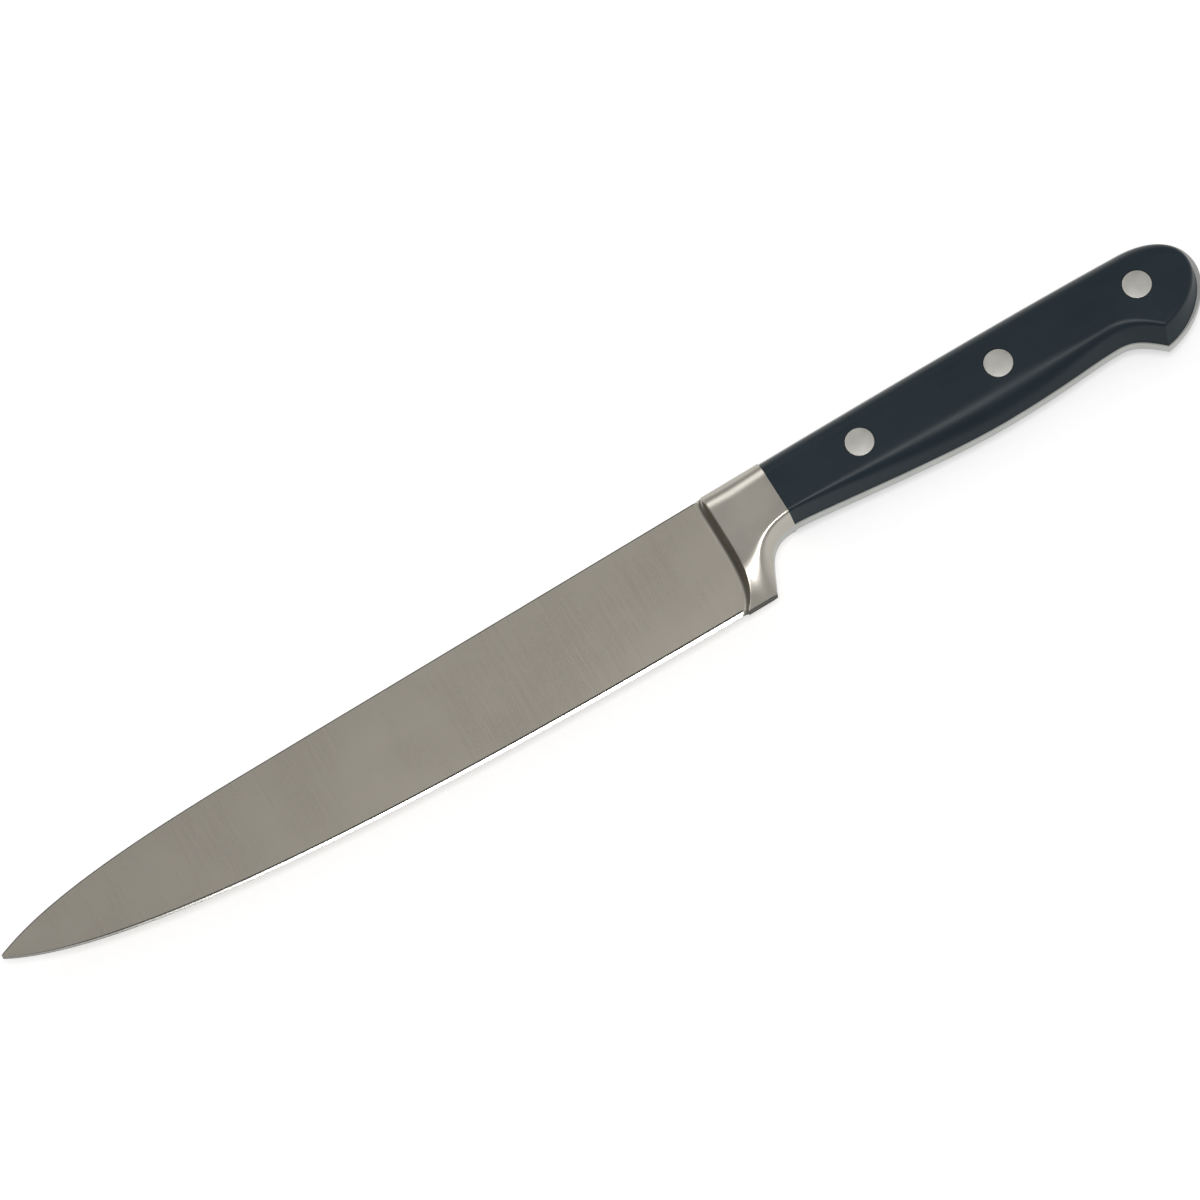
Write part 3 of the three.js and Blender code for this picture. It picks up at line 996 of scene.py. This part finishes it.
            # undersides: the blade's edge land is bevel, the heel's foot painted shade; tops: the spine is
            # painted shade
            zones += [Zone.BEVEL.value if on_blade else under.value]
            zones += [Zone.LINE.value if on_blade else Zone.TANG.value]
        # the end face at the point is painted shade
        for row in range(rows - 1):
            faces.append((row, row + 1, other + row + 1, other + row))
            zones.append(Zone.LINE.value)
        piece = new_piece("knife_forging", self.to_part(vertices), faces, zones)
        for finish in (FLANK_FINISH, BEVEL_FINISH, BOLSTER_FINISH, PAINTED_SHADE_FINISH, TANG_FINISH):
            piece.data.materials.append(finish.material())
        cut(piece, holes)
        shade(piece)
        return piece

    def dress(self, piece: Piece) -> None:
        """Puts the forging on its body and hides the CAD part that it stands for.

        Args:
            piece: The forging.
        """
        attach(piece, BODY)
        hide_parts("forged_blade")


@dataclass
class Scales:
    """The two moulded handle scales. Sizes in millimetres."""

    outline: HandleOutline
    forging: Forging
    top: LeaningSide = LeaningSide(2.0, 4.0, 0.3)
    front: LeaningSide = LeaningSide(1.7, 0.8, 0.3)
    middle: LeaningSide = LeaningSide(2.9, 4.6, 0.3)
    hollow: LeaningSide = LeaningSide(2.9, 2.0, 0.3)
    hook: LeaningSide = LeaningSide(2.9, 0.8, 0.3)
    butt: LeaningSide = LeaningSide(0.8, 1.5, 1.2)
    curve_steps: int = 40
    round_steps: int = 12

    def stations(self) -> tuple[Array, Array, list[LeaningSide], Array]:
        """Stations round the outline, anticlockwise from the hook.

        Returns:
            Points of the outline, inward vectors, the side at each station, and which side of the hook it
            lies on: 1 after it, -1 before it and 0 away from it.
        """
        runs = (
            (self.outline.lower_butt(), self.hook, self.butt, 1),
            (self.outline.upper_butt(), self.butt, self.top, 0),
            (self.outline.back(), self.top, self.top, 0),
            (self.outline.belly(), self.front, self.middle, 0),
            (self.outline.rise(), self.middle, self.hollow, 0),
            (self.outline.notch(), self.hollow, self.hook, -1),
        )
        shares = np.linspace(0, 1, self.curve_steps + 1)
        eased = smooth(shares)
        points = np.vstack([curve.points(shares) for curve, *_ in runs])
        inward = np.vstack([curve.inward(shares) for curve, *_ in runs])
        sides = [start.towards(end, ease) for _, start, end, _ in runs for ease in eased]
        hook_sides = np.repeat([run[3] for run in runs], len(shares))
        return points, inward, sides, hook_sides

    def rings(self) -> list[Array]:
        """Rings of points up the side of the left scale, with the corner at the hook mitred.

        Returns:
            The rings, from the tang to the outer face.
        """
        points, inward, sides, hook_sides = self.stations()
        hook_point = points[0]
        hook_inward = inward[0] + inward[-1]
        hook_inward = hook_inward / np.linalg.norm(hook_inward)
        mitre = 1 / (hook_inward @ inward[0])
        height = self.outline.half - self.outline.tang_half
        sections = np.array([side.section(height, self.round_steps) for side in sides])
        proud = np.array([side.proud for side in sides])
        rings = []
        for ring in range(sections.shape[1]):
            inset = proud + sections[:, ring, 0]
            moved = points + inward * inset[:, None]
            away = moved - hook_point
            past = hook_sides * (hook_inward[0] * away[:, 1] - hook_inward[1] * away[:, 0])
            side = np.column_stack([moved, self.outline.tang_half + sections[:, ring, 1]])
            corner = np.append(hook_point + hook_inward * inset[0] * mitre, side[0, 2])
            rings.append(np.where((past > 0)[:, None], corner, side))
        return rings

    def build(self, side: Side, holes: list[Piece]) -> Piece:
        """Builds one scale.

        Args:
            side: Which side of the knife it lies on.
            holes: What is cut out of it for the rivets.

        Returns:
            The piece.
        """
        rings = self.rings()
        count = len(rings[0])
        vertices = np.vstack(rings) * np.array([1, 1, side.value])
        top = (len(rings) - 1) * count
        faces = [tuple(range(count)), *ring_faces(len(rings), count), tuple(range(top, top + count))]
        name = f"{side.name.lower()}_scale_moulding"
        piece = new_piece(name, self.forging.to_part(vertices), faces)
        piece.data.materials.append(SCALE_FINISH.material())
        cut(piece, holes)
        shade(piece)
        return piece

    def dress(self, piece: Piece, side: Side) -> None:
        """Puts a scale on its body and hides the CAD part that it stands for.

        Args:
            piece: The scale.
            side: The side of the knife that it lies on.
        """
        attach(piece, BODY)
        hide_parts(f"{side.name.lower()}_scale")


@dataclass
class Rivets:
    """Three compression rivets, each a sleeve and a pin. Sizes in millimetres."""

    outline: HandleOutline
    forging: Forging
    names: tuple[str, ...] = ("front", "middle", "rear")
    first: float = 23.4
    pitch: float = 38.5
    front_depth: float = 10.55
    rear_depth: float = 12.4
    head_diameter: float = 7.3
    head_height: float = 2.4
    head_round: float = 0.2
    round_steps: int = 4
    sleeve_diameter: float = 5.0
    pin_diameter: float = 3.0
    sleeve_tip_gap: float = 0.4
    bore_web: float = 0.6
    pin_tip_gap: float = 0.4
    clearance: float = 0.1
    pin_clearance: float = 0.05
    sides: int = 96

    @property
    def seat(self) -> float:
        """Height of the underside of a head over the middle plane."""
        return self.outline.half - self.head_height

    def centre(self, index: int) -> Vector:
        """Where the axis of a rivet, counted from the front, crosses the middle plane, in the part frame."""
        depth = lerp(self.front_depth, self.rear_depth, index / (len(self.names) - 1))
        return Vector(self.forging.to_part(np.array([self.first + index * self.pitch, -depth, 0.0])))

    def turn(self, name: str, index: int, profile: list[Point]) -> Piece:
        """Turns a piece at a rivet's place, from radii and heights in millimetres."""
        metres = [(radius * MILLIMETRE, height * MILLIMETRE) for radius, height in profile]
        return turned(name, metres, self.centre(index), self.sides)

    def head_edge(self) -> list[Point]:
        """The rounded rim of a head, from its side to its face, above the middle plane.

        Returns:
            Radii and heights.
        """
        turns = np.linspace(0, math.pi / 2, self.round_steps + 1)
        radii = self.head_diameter / 2 - self.head_round + self.head_round * np.cos(turns)
        heights = self.outline.half - self.head_round + self.head_round * np.sin(turns)
        return list(zip(radii.tolist(), heights.tolist()))

    def build(self, index: int) -> dict[str, Piece]:
        """Builds a rivet: a sleeve with its head in the left scale, and a pin with its head in the right one.

        Args:
            index: The rivet, counted from the front.

        Returns:
            The two pieces, by the names of the solids that they stand for.
        """
        face, seat, rim = self.outline.half, self.seat, self.head_edge()
        head, shank, pin = self.head_diameter / 2, self.sleeve_diameter / 2, self.pin_diameter / 2
        bore, bore_end = pin + self.pin_clearance, seat - self.bore_web
        tip, pin_tip = self.sleeve_tip_gap - seat, bore_end - self.pin_tip_gap
        sleeve = [(0, bore_end), (bore, bore_end), (bore, tip), (shank, tip), (shank, seat)]
        sleeve += [(head, seat), *rim, (0, face)]
        solid = [(0, -face), *((radius, -height) for radius, height in reversed(rim)), (head, -seat)]
        solid += [(pin, -seat), (pin, pin_tip), (0, pin_tip)]
        name = self.names[index]
        return {
            f"{name}_rivet_sleeve": self.turn(f"{name}_sleeve_turned", index, sleeve),
            f"{name}_rivet_pin": self.turn(f"{name}_pin_turned", index, solid),
        }

    def holes(self, side: Side) -> list[Piece]:
        """Builds what is cut out for the rivets: a hole for the shank and a seat for the head.

        Args:
            side: The side of the knife that the seats lie on.

        Returns:
            One cutter per rivet.
        """
        hole = self.sleeve_diameter / 2 + self.clearance
        wide = self.head_diameter / 2 + self.clearance
        far = self.outline.thickness
        profile = [(0, -self.seat), (hole, -self.seat), (hole, self.seat)]
        profile += [(wide, self.seat), (wide, far), (0, far)]
        placed = [(radius, side.value * height) for radius, height in profile]
        return [self.turn(f"hole_{index}", index, placed) for index in range(len(self.names))]

    def dress(self, piece: Piece, node: str) -> None:
        """Finishes a rivet piece, puts it on its body and hides the CAD part that it stands for.

        Args:
            piece: The sleeve or pin.
            node: Name of the solid that it stands for.
        """
        shade(piece)
        piece.data.materials.append(RIVET_FINISH.material())
        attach(piece, BODY)
        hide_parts(node)


@dataclass(frozen=True)
class Softbox:
    """A soft studio lamp that faces the knife."""

    name: str
    place: Place
    size: Point
    power: float
    colour: str


@dataclass
class Studio:
    """Floor, lamps, world and camera. Lengths in metres, angles in degrees."""

    floor_size: float = 6.0
    target: Place = (0.000976, 0.006909, 0.0075)
    azimuth: float = -4.8
    elevation: float = 70.2
    roll: float = 26.384
    distance: float = 0.927
    photo_width: float = 1200.0  # pixels
    photo_focal: float = 3829.97  # pixels
    sensor: float = 36.0  # millimetres
    room_axis: Place = (1.0, -0.1, 0.0)
    room_walls: tuple[Stop, ...] = (
        (0.0, "#3a3a3a"),
        (0.4, "#9a9a9a"),
        (0.65, "#969696"),
        (1.0, "#cccccc"),
    )
    floor: FloorFinish = FloorFinish()
    lamps: tuple[Softbox, ...] = (
        Softbox("overhead_softbox", (0.02, -0.2, 1.1), (0.44, 0.24), 3.0, "#ffffff"),
        Softbox("rear_softbox", (-0.25, 1.0, 0.92), (0.7, 0.6), 1.7, "#ffffff"),
    )

    def build_floor(self) -> None:
        """Builds the floor that the knife lies on."""
        half = self.floor_size / 2
        corners = np.array([[-half, -half, 0], [half, -half, 0], [half, half, 0], [-half, half, 0]])
        floor = new_piece("studio_floor", corners, [(0, 1, 2, 3)])
        floor.data.materials.append(self.floor.material())

    def build_lamps(self) -> None:
        """Hangs the lamps, each turned to the knife."""
        for lamp in self.lamps:
            light = bpy.data.lights.new(lamp.name, "AREA")
            light.shape = "RECTANGLE"
            light.size, light.size_y = lamp.size
            light.energy = lamp.power
            light.color = linear(lamp.colour)[:3]
            hung = bpy.data.objects.new(lamp.name, light)
            hung.location = lamp.place
            facing = Vector(self.target) - Vector(lamp.place)
            hung.rotation_euler = facing.to_track_quat("-Z", "Y").to_euler()
            bpy.context.scene.collection.objects.link(hung)

    def build_world(self) -> None:
        """Sets the soft light of the room, darker to one side, which the camera sees as white."""
        world = bpy.data.worlds.new("studio_room")
        world.use_nodes = True
        tree = world.node_tree
        tree.nodes.clear()
        way = {0: add_node(tree, "ShaderNodeTexCoord").outputs["Generated"], 1: self.room_axis}
        across = add_node(tree, "ShaderNodeVectorMath", {"operation": "DOT_PRODUCT"}, way).outputs["Value"]
        ends = {"Value": across, "From Min": -1.0, "From Max": 1.0}
        share = add_node(tree, "ShaderNodeMapRange", None, ends).outputs["Result"]
        walls = {"Color": ramp(tree, share, self.room_walls), "Strength": 1.0}
        room = add_node(tree, "ShaderNodeBackground", None, walls).outputs["Background"]
        plain = {"Color": WHITE, "Strength": 1.0}
        white = add_node(tree, "ShaderNodeBackground", None, plain).outputs["Background"]
        seen = add_node(tree, "ShaderNodeLightPath").outputs["Is Camera Ray"]
        shown = add_node(tree, "ShaderNodeMixShader", None, {0: seen, 1: room, 2: white})
        add_node(tree, "ShaderNodeOutputWorld", None, {"Surface": shown.outputs["Shader"]})
        bpy.context.scene.world = world

    def build_camera(self) -> None:
        """Places the camera as the photograph was taken."""
        turn, lift, roll = (math.radians(a) for a in (self.azimuth, self.elevation, self.roll))
        right = Vector((math.cos(turn), math.sin(turn), 0))
        back = Vector((math.sin(turn) * math.cos(lift), -math.cos(turn) * math.cos(lift), math.sin(lift)))
        up = back.cross(right)
        rolled_right = math.cos(roll) * right - math.sin(roll) * up
        rolled_up = math.sin(roll) * right + math.cos(roll) * up
        place = Vector(self.target) + self.distance * back
        camera = bpy.data.cameras.new("studio_camera")
        camera.sensor_width = self.sensor
        camera.lens = self.photo_focal / self.photo_width * self.sensor
        held = bpy.data.objects.new("studio_camera", camera)
        turned_to = Matrix((rolled_right, rolled_up, back)).transposed().to_4x4()
        held.matrix_world = Matrix.Translation(place) @ turned_to
        bpy.context.scene.collection.objects.link(held)
        bpy.context.scene.camera = held

    def build(self) -> None:
        """Builds the whole studio."""
        self.build_floor()
        self.build_lamps()
        self.build_world()
        self.build_camera()
        bpy.context.scene.view_settings.view_transform = "Standard"


def report(piece: Piece) -> None:
    """Logs a piece and how fine its mesh is."""
    log.info("%s: %d faces", piece.name, len(piece.data.polygons))


def main() -> None:
    """Builds the knife and its studio."""
    logging.basicConfig(level=logging.INFO, format="%(name)s: %(message)s")
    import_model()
    outline = HandleOutline()
    forging = Forging(outline)
    scales = Scales(outline, forging)
    rivets = Rivets(outline, forging)
    steel = forging.build(rivets.holes(Side.LEFT))
    forging.dress(steel)
    report(steel)
    for side in Side:
        scale = scales.build(side, rivets.holes(side))
        scales.dress(scale, side)
        report(scale)
    for index in range(len(rivets.names)):
        for node, piece in rivets.build(index).items():
            rivets.dress(piece, node)
            report(piece)
    Studio().build()
    bpy.context.view_layer.update()


if __name__ == "__main__":
    main()
